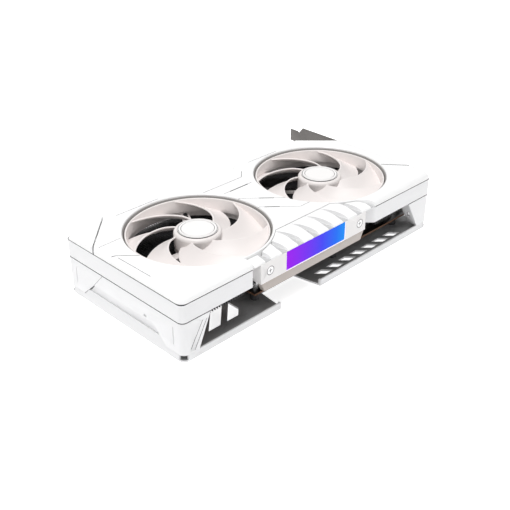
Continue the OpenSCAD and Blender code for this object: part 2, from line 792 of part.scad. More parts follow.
lead_r = duct_r - 2;
lead_w = 2.4;
lead_t = 0.8;
header_l = 7;
header_w = 5;
tail_lead_turn = 60;
bracket_lead_turn = 135;
lead_drops = [tail_fan_at + polar(lead_r, tail_lead_turn), bracket_fan_at + polar(lead_r, bracket_lead_turn)];

module fan_headers() color("white") place() for (at = lead_drops) translate([at[0], at[1], 0]) difference() {
    block([-header_l / 2, -header_w / 2, board_top], [header_l / 2, header_w / 2, board_top + 4.5]);
    block([0.8 - header_l / 2, 0.8 - header_w / 2, board_top + 1.5],
        [header_l / 2 - 0.8, header_w / 2 - 0.8, board_top + 6]);
}

// Each lead lies on a strut, drops between the fins and ends in its header
module fan_lead(at, turn) translate([at[0], at[1], 0]) rotate([0, 0, turn]) {
    lead_z = frame_z + strut_t;
    block([hub_r - 6, -lead_w / 2, lead_z], [lead_r + lead_t / 2, lead_w / 2, lead_z + lead_t]);
    block([lead_r - lead_t / 2, -lead_w / 2, board_top + 1.5],
        [lead_r + lead_t / 2, lead_w / 2, lead_z + lead_t]);
}

module fan_leads() color("black") place() {
    fan_lead(tail_fan_at, tail_lead_turn);
    fan_lead(bracket_fan_at, bracket_lead_turn);
}

ear_y = [tab_y + 4.5, shroud_w + 2];
ear_back = 4;
ear_half = 4;
ear_hole_r = 1.2;
ear_screw_r = 1.1;
tab_notch_x = 5.4;
tab_notch_z = 9.2;
vent_l = 13;
vent_step = 6.6;

module io_bracket() color("dimgray") place() {
    z0 = bracket_z;
    z1 = bracket_z + bracket_h;
    t0 = z0 + (bracket_h - slot_pitch - tongue_w) / 2;
    t1 = t0 + slot_pitch;
    neck_y = bracket_end_y - tongue_l;
    difference() {
        union() {
            slab_yz([[tab_y, z0], [neck_y - 6, z0], [neck_y, t0], [bracket_end_y, t0],
                [bracket_end_y, t0 + tongue_w], [neck_y, t0 + tongue_w], [neck_y - 2.4, t0 + tongue_w + 2.4],
                [neck_y - 2.4, t1 - 2.4], [neck_y, t1], [bracket_end_y, t1],
                [bracket_end_y, t1 + tongue_w], [neck_y, t1 + tongue_w],
                [neck_y - 2, t1 + tongue_w - 1], [neck_y - 6, z1], [tab_y, z1]],
                bracket_x, bracket_x + sheet_t);
            block([bracket_x, tab_y, z0], [bracket_x + sheet_t + tab_l, tab_y + sheet_t, z0 + tab_w]);
            for (y = ear_y)
                block([bracket_x - ear_back - ear_half, y - ear_half, board_top],
                    [bracket_x + 0.1, y + ear_half, board_top + sheet_t]);
        }
        for (z = [0, slot_pitch])
            translate([bracket_x + sheet_t + tab_notch_x, tab_y - 1, z0 + tab_notch_z + z]) {
                rotate([-90, 0, 0]) cylinder(h = 3, r = notch_w / 2);
                translate([0, 0, -notch_w / 2]) cube([tab_l, 3, notch_w]);
            }
        for (y = display_y) socket_hole(y, display_w, display_h);
        socket_hole(wide_y, wide_w, wide_h);
        for (y = [tab_y + 12:vent_step:neck_y - 20])
            block([bracket_x - 1, y, z0 + 18], [bracket_x + 2, y + vent_step - 3.2, z0 + 18 + vent_l]);
        for (y = ear_y) rod([bracket_x - ear_back, y], ear_hole_r, board_top - 1, board_top + 2);
    }
}

module socket_hole(y, w, h) block([bracket_x - 1, y - w / 2 - 0.2, socket_z - 0.2],
    [bracket_x + 2, y + w / 2 + 0.2, socket_z + h + 0.2]);

module socket_shell(y, w, h) difference() {
    block([bracket_x - socket_depth, y - w / 2, socket_z], [bracket_x + sheet_t, y + w / 2, socket_z + h]);
    block([bracket_x - socket_depth + 2, y - w / 2 + shell_t, socket_z + shell_t],
        [bracket_x + 3, y + w / 2 - shell_t, socket_z + h - shell_t]);
}

module display_sockets() color("silver") place() for (y = display_y) socket_shell(y, display_w, display_h);
module wide_socket() color("silver") place() socket_shell(wide_y, wide_w, wide_h);

module socket_tongues() color("black") place() {
    back = bracket_x - socket_depth + 2;
    for (y = display_y) block([back, y - 6, socket_z + 2.3], [bracket_x - 1, y + 6, socket_z + 3.5]);
    block([back, wide_y - 5.2, socket_z + 2], [bracket_x - 1, wide_y + 5.2, socket_z + 3.2]);
}

module screw_down(at, head_z, r, head_r, len) translate([at[0], at[1], head_z]) difference() {
    union() {
        cylinder(h = 1.2, r = head_r);
        translate([0, 0, -len]) cylinder(h = len + 0.2, r = r);
    }
    for (turn = [0, 90]) rotate([0, 0, turn]) translate([-1.1, -0.25, 0.6]) cube([2.2, 0.5, 1]);
}

module bracket_screws() color("gainsboro") place() for (y = ear_y)
    screw_down([bracket_x - ear_back, y], board_top + sheet_t, ear_screw_r, 2.1, sheet_t + board_t);

module backplate_screws() color("gainsboro") place() for (at = board_screws)
    translate([at[0], at[1], 0]) difference() {
        union() {
            translate([0, 0, 0.1]) cylinder(h = plate_t - 0.25, r1 = screw_head_r, r2 = screw_r);
            translate([0, 0, 0.1]) cylinder(h = board_top + 4, r = screw_r);
        }
        for (turn = [0, 90]) rotate([0, 0, turn]) translate([-1.5, -0.3, -1]) cube([3, 0.6, 1.8]);
    }

module backplate_spacers() color("dimgray") place() for (at = board_screws) difference() {
    rod(at, 3, plate_t, board_z);
    rod(at, screw_r + screw_gap, plate_t - 1, board_z + 1);
}

module cooler_standoffs() color("silver") place() for (at = board_screws) difference() {
    rod(at, 2.7, board_top, fin_z0);
    rod(at, screw_r + pipe_gap, board_top - 1, board_top + 4.4);
}

retention_z = board_z - 1.4;
retention_t = 1.2;
retention_l = 2 * sqrt(2) * chip_screw_step + 6.1;

module retention_plate() color("dimgray") place() difference() {
    translate([chip_at[0], chip_at[1], 0]) {
        for (turn = [45, 135]) rotate([0, 0, turn])
            block([-retention_l / 2, -4, retention_z], [retention_l / 2, 4, retention_z + retention_t]);
        rod([0, 0], 10, retention_z, retention_z + retention_t);
    }
    for (at = chip_screws) rod(at, screw_r + screw_gap, retention_z - 1, board_z);
}

module retention_screws() color("gainsboro") place() for (at = chip_screws) {
    rod(at, 2.6, retention_z - 1.8, retention_z);
    rod(at, screw_r - tiny, retention_z - 0.1, cold_z + 2);
}

top_panel();
tail_corner_cap();
side_band();
tail_cover();
rear_corner_leg();
bracket_end_leg();
backplate();
ribbed_cover();
light_housing();
light_diffuser();
light_board();
light_leds();
lower_trim();
light_screws();
tail_fan_rotor();
bracket_fan_rotor();
tail_fan_cap();
bracket_fan_cap();
tail_fan_magnet();
bracket_fan_magnet();
tail_fan_shaft();
bracket_fan_shaft();
tail_fan_frame();
bracket_fan_frame();
tail_fan_stator();
bracket_fan_stator();
tail_fan_bearing();
bracket_fan_bearing();
tail_fan_board();
bracket_fan_board();
fin_stack();
heat_pipes();
cold_plate();
regulator_plate();
thermal_pads();
thermal_paste();
circuit_board();
chip_carrier();
chip_die();
memory_chips();
power_chokes();
power_stages();
capacitors();
edge_contacts();
power_socket();
power_pins();
fan_headers();
fan_leads();
io_bracket();
display_sockets();
wide_socket();
socket_tongues();
bracket_screws();
backplate_screws();
backplate_spacers();
cooler_standoffs();
retention_plate();
retention_screws();
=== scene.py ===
import math

import bmesh
import bpy
from mathutils import Matrix, Vector


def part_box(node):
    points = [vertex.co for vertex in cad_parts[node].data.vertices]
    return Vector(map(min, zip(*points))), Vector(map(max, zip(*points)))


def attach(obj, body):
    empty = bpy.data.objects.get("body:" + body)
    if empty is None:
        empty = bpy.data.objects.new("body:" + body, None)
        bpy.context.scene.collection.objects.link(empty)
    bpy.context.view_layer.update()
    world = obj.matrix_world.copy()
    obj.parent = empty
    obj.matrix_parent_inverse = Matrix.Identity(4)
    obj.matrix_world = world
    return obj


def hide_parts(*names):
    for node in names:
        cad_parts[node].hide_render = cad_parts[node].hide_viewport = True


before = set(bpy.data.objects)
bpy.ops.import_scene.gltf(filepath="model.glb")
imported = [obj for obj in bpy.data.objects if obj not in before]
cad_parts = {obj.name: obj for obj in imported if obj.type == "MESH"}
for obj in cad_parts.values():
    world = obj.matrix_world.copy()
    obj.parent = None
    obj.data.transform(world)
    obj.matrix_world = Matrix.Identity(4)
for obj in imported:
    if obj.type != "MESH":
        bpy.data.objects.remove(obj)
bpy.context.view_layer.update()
print("model loaded")

mm = 0.001
cardX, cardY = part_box("backplate")[0][:2]
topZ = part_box("top_panel")[1][2] / mm  # the top of the panel
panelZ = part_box("side_band")[1][2] / mm  # the seam under the panel
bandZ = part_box("side_band")[0][2] / mm  # the seam under the side band
cardLength = (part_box("backplate")[1][0] - cardX) / mm
cardWidth = (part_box("backplate")[1][1] - cardY) / mm
seamHalf = 0.32  # half the height of a shadowed seam, a little more than the open gap so that it shows
past = 2  # how far a cutter reaches past what it cuts


def card(x, y, z):  # millimetres from the tail and the lit edge, as a place in metres
    return Vector((cardX + x * mm, cardY + y * mm, z * mm))


def linear(code):  # an sRGB hex colour as linear light
    values = [int(code[i : i + 2], 16) / 255 for i in (1, 3, 5)]
    return [v / 12.92 if v <= 0.04045 else ((v + 0.055) / 1.055) ** 2.4 for v in values] + [1]


def addNode(tree, kind, settings=None, links=None):
    made = tree.nodes.new(kind)
    for name, value in (settings or {}).items():
        if name in made.inputs.keys():
            made.inputs[name].default_value = value
        else:
            setattr(made, name, value)
    for name, source in (links or {}).items():
        tree.links.new(source, made.inputs[name])
    return made


# shared by all finishes: how far the roughness wanders, the lacquer's own roughness and the noise's detail
finish = {"spread": 0.06, "leastRough": 0.02, "coatRough": 0.12, "detail": 3.0}


# grain is the height of the bumps and size the width of one, both in mm. A moulded or sprayed grain is near 0.1 mm
# wide, too fine to show at this distance, so the widths are drawn several times as coarse as the real ones.
def surface(name, colour, rough, metal=0.0, coat=0.0, grain=0.0, size=1.0, stretch=(1, 1, 1), glow=None):
    made = bpy.data.materials.new(name)
    made.use_nodes = True
    tree = made.node_tree
    shader = tree.nodes["Principled BSDF"]  # the refraction index stays at the default, which suits plastic and lacquer
    shader.inputs["Base Color"].default_value = linear(colour)
    shader.inputs["Metallic"].default_value = metal
    shader.inputs["Coat Weight"].default_value = coat
    shader.inputs["Coat Roughness"].default_value = finish["coatRough"]
    place = addNode(tree, "ShaderNodeTexCoord")
    scale = [s / (size * mm) for s in stretch]
    scaled = addNode(tree, "ShaderNodeMapping", {"Scale": scale}, {"Vector": place.outputs["Object"]})
    detail = {"Scale": 1.0, "Detail": finish["detail"]}
    noise = addNode(tree, "ShaderNodeTexNoise", detail, {"Vector": scaled.outputs["Vector"]})
    limits = {"To Min": max(finish["leastRough"], rough - finish["spread"]), "To Max": rough + finish["spread"]}
    roughness = addNode(tree, "ShaderNodeMapRange", limits, {"Value": noise.outputs["Fac"]})
    tree.links.new(roughness.outputs["Result"], shader.inputs["Roughness"])
    if grain:
        height = {"Strength": 1.0, "Distance": grain * mm}
        bump = addNode(tree, "ShaderNodeBump", height, {"Height": noise.outputs["Fac"]})
        tree.links.new(bump.outputs["Normal"], shader.inputs["Normal"])
    if glow:
        shader.inputs["Emission Color"].default_value = linear(colour)
        shader.inputs["Emission Strength"].default_value = glow
    return made


look = {
    # sprayed and lacquered: nearly pure white, with a soft broad highlight
    "panel": surface("painted ABS", "#F8F8F8", 0.34, coat=0.15, grain=0.004, size=0.6),
    # the same paint on the upright faces, darker as painted shade, a little cooler and duller
    "band": surface("painted ABS with painted side shade", "#EDEDEE", 0.38, coat=0.1, grain=0.004, size=0.6),
    # moulded in warm white: a satin sheen that follows the curve of a blade
    "fan": surface("moulded PBT", "#EFE9E7", 0.42, grain=0.006, size=0.8),
    # polished in the mould: a small bright highlight
    "cap": surface("gloss ABS", "#F3F1F0", 0.2, coat=0.4, size=2),
    # powder coat on sheet: even and pale, with hardly any gleam
    "plate": surface("powder-coated aluminium", "#E9E9EA", 0.42, grain=0.003, size=0.4),
    # a plain mid grey, painted shade on the side of the backplate that faces the board
    "plateInsideShade": surface("aluminium in painted shade", "#A9A9AA", 0.5, metal=0.2, grain=0.003, size=0.4),
    # the wall inside a fan opening, grey as painted shade, so that the rim of the opening reads as a dark line
    "duct": surface("ABS in painted shade", "#8F8C8A", 0.5, grain=0.004, size=0.6),
    # painted shade down in the valleys: soft grey beside the white ribs
    "valley": surface("painted ABS with painted valley shade", "#C9C9CA", 0.5, grain=0.004, size=0.6),
    # satin paint, slightly warm
    "endPlate": surface("satin painted ABS", "#F0EEED", 0.4, grain=0.004, size=0.6),
    # clear white with light leaking through from the strip
    "glowStrip": surface("opal acrylic", "#FBF4FC", 0.3, glow=0.35, size=2),
    # moulded in grey-beige: dull, with a faint sheen
    "trim": surface("moulded beige ABS", "#B9B0A9", 0.4, grain=0.004, size=0.6),
    # painted shade in a gap: a dark line without gleam
    "seam": surface("painted gap shade", "#303032", 0.6, size=2),
    # painted shade in a shallow groove: a mid grey line
    "thinSeam": surface("painted groove shade", "#7C7C7E", 0.6, size=2),
    # rolled aluminium fins, darker than their own grey as painted shade under the shroud: a dull glint along each edge
    "fins": surface("aluminium with painted shade", "#4A4A4C", 0.45, metal=0.5, grain=0.002, size=0.5, stretch=(1, 0.2, 1)),
    # smooth metal with a warm, fairly sharp reflection
    "copper": surface("plated copper", "#B98D6C", 0.28, metal=1.0, grain=0.002, size=1),
    # glossy lacquer over fine tracks: nearly black, with a slightly uneven gleam
    "board": surface("black solder mask", "#15110E", 0.32, coat=0.2, grain=0.01, size=1.2),
    # sawn glass epoxy: dull brown
    "boardEdge": surface("glass epoxy", "#6B4A33", 0.6, size=0.5),
    # the usual green lacquer of small boards
    "greenBoard": surface("green solder mask", "#1E3B24", 0.35, size=1),
    # moulded black resin: dull, with a fine grain
    "chip": surface("moulded epoxy", "#17171A", 0.5, grain=0.01, size=0.3),
    # a grey mirror
    "die": surface("polished silicon", "#59606B", 0.1, metal=0.8, size=5),
    # pressed powder: dull grey and a little rough
    "ferrite": surface("pressed ferrite", "#4A4A4C", 0.55, grain=0.02, size=0.5),
    # drawn metal with a soft bright reflection
    "can": surface("drawn aluminium", "#C8C8C8", 0.3, metal=1.0, size=1),
    # a clear yellow reflection
    "gold": surface("gold plating", "#D8AF52", 0.25, metal=1.0, size=1),
    # black with a low sheen
    "nylon": surface("black nylon", "#121214", 0.45, grain=0.008, size=0.4),
    # cream with a low sheen
    "paleNylon": surface("natural nylon", "#DEDACD", 0.45, size=0.6),
    # dark grey metal with a long faint glint from rolling
    "bracket": surface("black nickel steel", "#6B6866", 0.4, metal=0.6, grain=0.003, size=0.3, stretch=(1, 0.1, 1)),
    # bright and silvery
    "steel": surface("nickel-plated steel", "#D2D2D2", 0.24, metal=1.0, grain=0.002, size=0.4),
    # black and dull
    "rubber": surface("PVC insulation", "#1B1B1C", 0.6, grain=0.01, size=0.5),
    # grey and quite without gleam
    "pad": surface("silicone pad", "#8D9299", 0.75, grain=0.02, size=0.4),
    # pressed metal with open pores: a broken brown reflection
    "bronze": surface("sintered bronze", "#A07B45", 0.45, metal=0.9, grain=0.01, size=0.2),
    # packed round wires: red-brown glints in rows
    "winding": surface("enamelled copper", "#9A4F2B", 0.35, metal=0.7, grain=0.05, size=0.4, stretch=(0.2, 0.2, 1)),
}
print("surfaces made")


def shade(made, angle):  # smooth faces, with edges sharper than the angle left crisp
    made.data.polygons.foreach_set("use_smooth", [True] * len(made.data.polygons))
    made.data.set_sharp_from_angle(angle=math.radians(angle))


def finishMesh(name, bm, material, body="card", smooth=35):
    bmesh.ops.recalc_face_normals(bm, faces=bm.faces)
    mesh = bpy.data.meshes.new(name)
    bm.to_mesh(mesh)
    bm.free()
    made = bpy.data.objects.new(name, mesh)
    bpy.context.collection.objects.link(made)
    for m in material if isinstance(material, list) else [material]:
        mesh.materials.append(look[m])
    shade(made, smooth)
    if body:
        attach(made, body)
    return made


def prism(bm, points, z0, z1):  # a closed upright prism over a list of card points
    face = bm.faces.new([bm.verts.new(card(x, y, z0)) for x, y in points])
    grown = bmesh.ops.extrude_face_region(bm, geom=[face])["geom"]
    raised = [v for v in grown if isinstance(v, bmesh.types.BMVert)]
    bmesh.ops.translate(bm, verts=raised, vec=(0, 0, (z1 - z0) * mm))


def slit(bm, start, end, width, depth, normal):  # a thin block along a line, to be cut out; normal points outwards
    start, end, out = card(*start), card(*end), Vector(normal)
    along = (end - start).normalized()
    across = out.cross(along)
    turn = Matrix((along, across, out)).transposed().to_4x4()
    size = Matrix.Diagonal(((end - start).length, width * mm, 2 * depth * mm, 1))
    bmesh.ops.create_cube(bm, size=1, matrix=Matrix.Translation((start + end) / 2) @ turn @ size)


def spun(bm, profile, centre, steps=96):  # a profile in mm that starts and ends on the axis closes at its poles
    verts = [bm.verts.new((centre[0] + r * mm, centre[1], z * mm)) for r, z in profile]
    pairs = list(zip(verts, verts[1:])) + ([(verts[-1], verts[0])] if profile[0][0] > 0 else [])
    edges = [bm.edges.new(pair) for pair in pairs]
    middle = (centre[0], centre[1], 0)
    bmesh.ops.spin(bm, geom=verts + edges, cent=middle, axis=(0, 0, 1), angle=math.tau, steps=steps, use_merge=True)
    bmesh.ops.remove_doubles(bm, verts=bm.verts, dist=2e-6)


def arc(cx, cz, r, start, end, count=6):  # radius and height along an arc, its angles in degrees
    angles = [math.radians(start + (end - start) * i / count) for i in range(count + 1)]
    return [(cx + r * math.cos(a), cz + r * math.sin(a)) for a in angles]


def splitAt(bm, height):  # a level cut all round, so that a seam can take its own finish
    everything = bm.verts[:] + bm.edges[:] + bm.faces[:]
    bmesh.ops.bisect_plane(bm, geom=everything, plane_co=(0, 0, height * mm), plane_no=(0, 0, 1))


def cutterFrom(bm, material="panel"):  # the cut faces take the cutter's finish
    return finishMesh("cutter", bm, material, body=None)


def carve(made, cutters):  # cuts the cutters out of a piece and removes them
    for cutter in cutters:
        cut = made.modifiers.new("cut", "BOOLEAN")
        cut.object = cutter
        cut.operation = "DIFFERENCE"
        cut.solver = "EXACT"
        cut.material_mode = "TRANSFER"
    bpy.context.view_layer.update()
    shaped = bpy.data.meshes.new_from_object(made.evaluated_get(bpy.context.evaluated_depsgraph_get()))
    made.modifiers.clear()
    made.data = shaped
    for cutter in cutters:
        bpy.data.objects.remove(cutter)


def fanCentre(node):
    low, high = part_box(node)
    return (low[0] + high[0]) / 2, (low[1] + high[1]) / 2


# where each fan turns, and how many degrees its first blade is turned at rest
fans = {
    "tail_fan": {"at": fanCentre("tail_fan_cap"), "phase": 8.5},
    "bracket_fan": {"at": fanCentre("bracket_fan_cap"), "phase": 34.5},
}

# top panel: rolled edges, fan openings, a recess for the ribbed cover and fine grooves
panel = {
    "roll": 4.8,  # how far an upper edge rolls over
    "endRoll": 0.45,  # share of that along the bracket end
    "capRoll": 0.06,  # share of that beside the corner cap
    "corner": 5.0,  # radius of the two upright corners at the lit edge
    "opening": 50.1,  # radius of a fan opening
    "flare": 0.9,  # how far its rim widens, from a little under the top to a little over it
    "flareDrop": 0.5,
    "flareOver": 0.4,
    "cut": 25.8,  # the cut corner at the bracket end
    "waist": 6,  # depth of the waist in the far edge
    "waistFrom": 96,  # from the tail
    "waistTo": 98,  # from the bracket end
    "cap": 32.8,  # reach of the corner cap at the tail
    "capGap": 0.3,
    "capNear": 1.2,  # edges this near the cap's line hardly roll
    "sides": 128,  # facets of an opening
}
recess = {"from": 58.6, "to": 182.5, "shoulder": 171.5, "bend": 10, "back": 19.8, "round": 1.6}

# grooves by the painted shade in them: start x and y, end x and y, width, depth
topLines = {
    "seam": [
        (2, 68.5, 15.5, 56, 0.5, 0.9),
        (118, 83, 136, 83, 0.9, 0.8),
        (125, 60.8, 133, 53.4, 0.9, 0.8),
        (118, 48.2, 126, 41, 0.9, 0.8),
        (233.5, 35.5, 247, 19, 0.8, 0.9),
    ],
    "thinSeam": [
        (3.6, 64, 3.9, 32, 0.3, 0.5),
        (112, 83.1, 117.9, 83.1, 0.35, 0.5),
        (136.1, 83.1, 140, 83.1, 0.35, 0.5),
        (114, 70.5, 124.9, 60.9, 0.35, 0.5),
        (133.1, 53.3, 141, 46, 0.35, 0.5),
        (114, 52, 117.9, 48.3, 0.35, 0.5),
        (126.1, 40.9, 136, 31.4, 0.35, 0.5),
        (136.3, 31.2, 148, 31.2, 0.35, 0.5),
        (102.5, 94.9, 141, 94.9, 0.4, 0.6),
        (141.2, 95.1, 148, 102, 0.4, 0.6),
        (37, 110.5, 74, 110.5, 0.35, 0.5),
        (163.5, 110.5, 195, 110.5, 0.35, 0.5),
        (2, 82.8, 20, 82.8, 0.3, 0.5),
    ],
}


def panelOutline():
    far, waist, cut, cap = cardWidth, panel["waist"], panel["cut"], panel["cap"] - panel["capGap"]
    waistFrom, waistTo = panel["waistFrom"], cardLength - panel["waistTo"]
    return [
        (0, 0),
        (cardLength, 0),
        (cardLength, far - cut),
        (cardLength - cut, far),
        (waistTo, far),
        (waistTo - waist, far - waist),
        (waistFrom, far - waist),
        (waistFrom - waist, far),
        (cap, far),
        (0, far - cap),
    ]


def fanClearance(extra):  # a round cutter at each fan, wider than its opening
    cutters = []
    for fan in fans.values():
        bm = bmesh.new()
        r = panel["opening"] + extra
        bottom, top = panelZ - past, topZ + past
        spun(bm, [(0, bottom), (r, bottom), (r, top), (0, top)], fan["at"], panel["sides"])
        cutters.append(cutterFrom(bm))
    return cutters


def topPanel():
    bm = bmesh.new()
    prism(bm, panelOutline(), panelZ, topZ)
    # the strip at the foot of the panel takes the painted shadow of the seam under it
    splitAt(bm, panelZ + seamHalf)
    for f in bm.faces:
        if f.calc_center_median().z < (panelZ + seamHalf) * mm:
            f.material_index = 1
    same = 1e-6
    for x in (0, cardLength):
        near = card(x, 0, 0)
        corner = [e for e in bm.edges if all((v.co.xy - near.xy).length < same for v in e.verts)]
        radius = panel["corner"] * mm
        bmesh.ops.bevel(bm, geom=corner, offset=radius, segments=6, profile=0.5, affect="EDGES", material=-1)
    weight = bm.edges.layers.float.new("bevel_weight_edge")
    capLine, endLine = card(0, cardWidth - panel["cap"], 0), card(cardLength, 0, 0).x
    for e in bm.edges:
        if any(abs(v.co.z - topZ * mm) > same for v in e.verts):
            continue
        if all(abs((v.co.y - capLine.y) - (v.co.x - capLine.x)) < panel["capNear"] * mm for v in e.verts):
            e[weight] = panel["capRoll"]
        else:
            e[weight] = panel["endRoll"] if all(v.co.x > endLine - 10 * same for v in e.verts) else 1.0
    made = finishMesh("shroud_top", bm, ["panel", "seam"])
    roll = made.modifiers.new("roll", "BEVEL")
    roll.width = panel["roll"] * mm
    roll.segments = 8
    roll.limit_method = "WEIGHT"
    cutters = []
    for fan in fans.values():
        bm = bmesh.new()
        r, bottom, rimTop = panel["opening"], panelZ - past, topZ + panel["flareOver"]
        flare = [(r, topZ - panel["flareDrop"]), (r + panel["flare"], rimTop)]
        profile = [(0, bottom), (r, bottom)] + flare + [(0, rimTop)]
        spun(bm, profile, fan["at"], panel["sides"])
        cutters.append(cutterFrom(bm))
    bm = bmesh.new()
    bend = [(recess["to"], -1), (recess["shoulder"], recess["bend"]), (recess["shoulder"], recess["back"])]
    prism(bm, [(recess["from"], -1)] + bend + [(recess["from"], recess["back"])], panelZ - past / 2, topZ + past / 2)
    space = cutterFrom(bm)
    carve(space, fanClearance(recess["round"]))
    cutters.append(space)
    for name, lines in topLines.items():
        bm = bmesh.new()
        for x0, y0, x1, y1, width, depth in lines:
            slit(bm, (x0, y0, topZ), (x1, y1, topZ), width, depth, (0, 0, 1))
        cutters.append(cutterFrom(bm, name))
    carve(made, cutters)
    shade(made, 32)
    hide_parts("top_panel")


topPanel()
print("top panel made")

# duct: the wall inside each fan opening, grey as painted shade, with a small lip under the panel's rim
duct = {"inner": 49.3, "gap": 0.05, "lip": 0.3, "lipDrop": 1.8, "topDrop": 1.4}


def ductRing(name, centre):
    bm = bmesh.new()
    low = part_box("top_panel")[0][2] / mm
    inner, outer, top = duct["inner"], panel["opening"] - duct["gap"], topZ - duct["topDrop"]
    profile = [(inner, low), (inner, topZ - duct["lipDrop"]), (inner + duct["lip"], top), (outer, top), (outer, low)]
    spun(bm, profile, centre, panel["sides"])
    finishMesh(name, bm, "duct", smooth=50)


for body, fan in fans.items():
    ductRing(body + "_duct", fan["at"])
print("ducts made")

# fan rotors: a domed hub, swept blades with a high leading edge, and a tip ring
rotor = {
    "blades": 7,
    "root": 16.2,  # radius where a blade leaves the hub
    "overlap": 0.8,  # how far it runs into the hub
    "sweep": 1.9,  # degrees for each millimetre out
    "chord": 31,  # degrees from edge to edge at the root
    "chordGrowth": 0.27,  # degrees more for each millimetre out
    "thick": 1.2,
    "edge": 0.4,  # rounding of its edges
    "across": 12,  # steps of its mesh
    "along": 26,
    "trailDrop": 8.6,  # how far the trailing edge lies below the panel's top
    "trailFall": 2.6,  # and how much farther toward the tip
    "leadDrop": 2.9,  # the same for the leading edge, which rises off the hub and falls to the tip
    "leadRise": 0.9,
    "leadFall": 0.5,
    "rim": duct["inner"] - 0.7,  # outer radius of the tip ring
    "rimWall": 1.3,
    "rimDrop": 2,
}
# hub: radii of its wall and of the dome, and depths below its highest point
hub = {"inner": 14.3, "outer": 16.4, "dome": 2.5, "domeHigh": 2.95, "domeDrop": 3, "roofDrop": 1.7, "roofEdgeDrop": 1.9}
hub |= {"seat": 13.75, "seatDrop": 0.35}
# label on the hub: radius and height against its face, with two fine rings sunk into it
label = [(0, -0.7), (13.6, -0.7), (13.6, -0.1), (13.5, 0), (13.25, 0), (13.2, -0.25), (12.9, -0.25)]
label += [(12.85, 0), (11.4, 0), (11.35, -0.25), (11.05, -0.25), (11.0, -0.05), (0, -0.05)]


# a place on a blade's upper side; t runs from its trailing to its leading edge, u from hub to tip
def bladePlace(fan, t, u, start):
    low, high = rotor["root"] - rotor["overlap"], rotor["rim"] - rotor["rimWall"] / 2
    r = low + (high - low) * u
    out = r - rotor["root"]
    turn = rotor["sweep"] * out - (1 - t) * (rotor["chord"] + out * rotor["chordGrowth"])
    trail = topZ - rotor["trailDrop"] - rotor["trailFall"] * min(1, 1.6 * u)
    lead = topZ - rotor["leadDrop"] + rotor["leadRise"] * min(1, 4 * u) - rotor["leadFall"] * u
    z = trail + (lead - trail) * (0.45 * t + 0.55 * t * t)  # cupped: steeper toward the leading edge
    angle = math.radians(turn + start)
    return (fan["at"][0] + r * mm * math.cos(angle), fan["at"][1] + r * mm * math.sin(angle), z * mm)


def fanRotor(body, fan):
    bm = bmesh.new()
    for n in range(rotor["blades"]):
        steps = {"x_segments": rotor["across"], "y_segments": rotor["along"]}
        grid = bmesh.ops.create_grid(bm, size=0.5, **steps)["verts"]
        for v in grid:
            v.co = bladePlace(fan, v.co.x + 0.5, v.co.y + 0.5, fan["phase"] + n * 360 / rotor["blades"])
        faces = list({f for v in grid for f in v.link_faces})
        bmesh.ops.recalc_face_normals(bm, faces=faces)
        if sum(f.normal.z for f in faces) < 0:
            bmesh.ops.reverse_faces(bm, faces=faces)
        bmesh.ops.solidify(bm, geom=faces, thickness=rotor["thick"] * mm)
    blades = finishMesh(body + "_blades", bm, "fan", body=body, smooth=40)
    edge = blades.modifiers.new("edge", "BEVEL")
    edge.width = rotor["edge"] * mm
    edge.segments = 2
    edge.limit_method = "ANGLE"
    edge.angle_limit = math.radians(50)
    low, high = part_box(body + "_rotor")
    bottom, top = low[2] / mm, high[2] / mm
    bm = bmesh.new()
    middle, base = hub["outer"] - hub["dome"], top - hub["domeDrop"]
    turns = [math.radians(9 * k) for k in range(10)]
    dome = [(middle + hub["dome"] * math.cos(a), base + hub["domeHigh"] * math.sin(a)) for a in turns]
    roof = [(0, top - hub["roofDrop"]), (hub["inner"], top - hub["roofEdgeDrop"])]
    foot = [(hub["inner"], bottom), (hub["outer"], bottom)]
    seat = [(hub["seat"], top - hub["seatDrop"]), (0, top - hub["seatDrop"])]
    spun(bm, roof + foot + dome + seat, fan["at"])
    shell = finishMesh(body + "_hub", bm, "fan", body=body, smooth=40)
    bm = bmesh.new()
    rim, wall, ringTop = rotor["rim"], rotor["rimWall"], topZ - rotor["rimDrop"]
    crown = arc(rim - wall / 2, ringTop - wall / 2, wall / 2, 0, 180)
    spun(bm, [(rim - wall, bottom), (rim, bottom)] + crown, fan["at"], panel["sides"])
    ring = finishMesh(body + "_tip_ring", bm, "fan", body=body, smooth=40)
    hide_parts(body + "_rotor")
    bm = bmesh.new()
    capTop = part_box(body + "_cap")[1][2] / mm
    spun(bm, [(r, capTop + z) for r, z in label], fan["at"])
    # the floors of the sunk rings take painted shade
    for f in bm.faces:
        if f.calc_center_median().z < (capTop - 0.2) * mm:  # the floors of the sunk rings, and the unseen underside
            f.material_index = 1
    cap = finishMesh(body + "_label", bm, ["cap", "seam"], body=body, smooth=30)
    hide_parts(body + "_cap")


for body, fan in fans.items():
    fanRotor(body, fan)
print("fan rotors made")

# ribbed cover over the light bar: overlapping scallops that run back from the lit edge, with painted shade in their
# valleys
ribs = {
    "count": 11,
    "columns": 12,  # steps of the mesh along one rib
    "rows": 22,
    "pitch": 15.2,
    "first": 67,  # where the first whole rib starts, at the back
    "lean": 8.5,  # how far a rib leans toward the bracket at the lit edge
    "valley": 0.36,  # share of the pitch that the valley takes
    "steep": 0.03,  # share of the pitch that a rib's steep side takes
    "deep": 2.6,
    "crown": 0.5,  # how far a rib bulges, and the cover dips, at the lit edge
    "front": 0.25,
    "back": 19.4,
    "nose": 1.6,  # height above the seam at the lit edge
    "tuck": 0.3,  # how far the back stays under the panel's top
    "least": 0.6,  # least height above the seam
    "clear": 1.9,  # room round a fan opening
    "end": [(182.0, -1), (260, -1), (260, 21), (171.3, 21), (171.3, 9.8)],  # cut away at the bracket end
}


